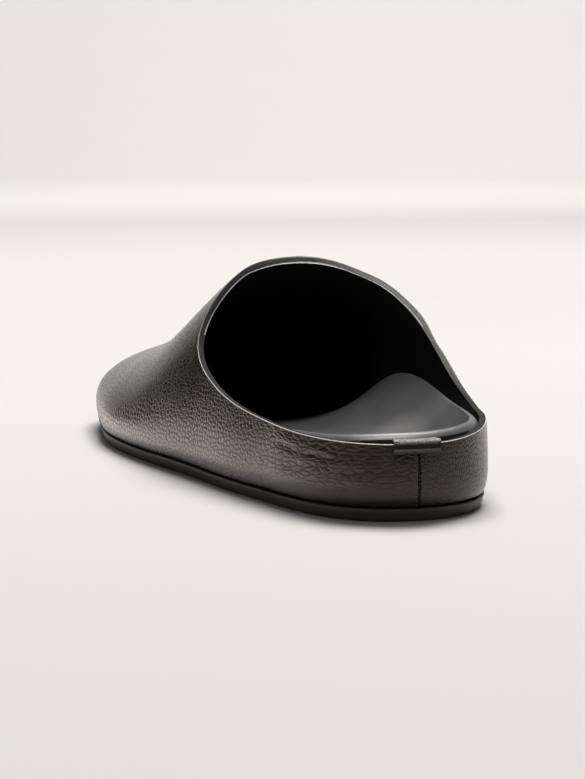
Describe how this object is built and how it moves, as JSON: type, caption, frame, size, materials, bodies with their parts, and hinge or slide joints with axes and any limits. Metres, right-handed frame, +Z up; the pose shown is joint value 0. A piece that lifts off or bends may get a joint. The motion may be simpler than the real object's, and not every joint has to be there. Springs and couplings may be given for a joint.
{
  "type": "clog",
  "caption": "Left slip-on leather clog with a low closed heel band, contoured footbed, folded heel tab and thin flat sole, worn to cover the foot.",
  "frame": {"origin": "centre of the flat heel spot under the sole, on the floor", "axes": "+Y from heel to toe along the shoe, +X towards the inner (arch) side, +Z up"},
  "size_m": [0.1084, 0.2921, 0.0759],
  "materials": {
    "outsole": "dark brown-black, smooth, satin",
    "upper": "black tumbled full-grain leather, soft sheen",
    "footbed": "smooth charcoal leather, matt",
    "heel_tab": "smooth black leather, semi-gloss"
  },
  "bodies": {
    "root": {"outsole": "outsole", "upper": "upper", "footbed": "footbed", "heel_tab": "heel_tab"}
  },
  "joints": []
}
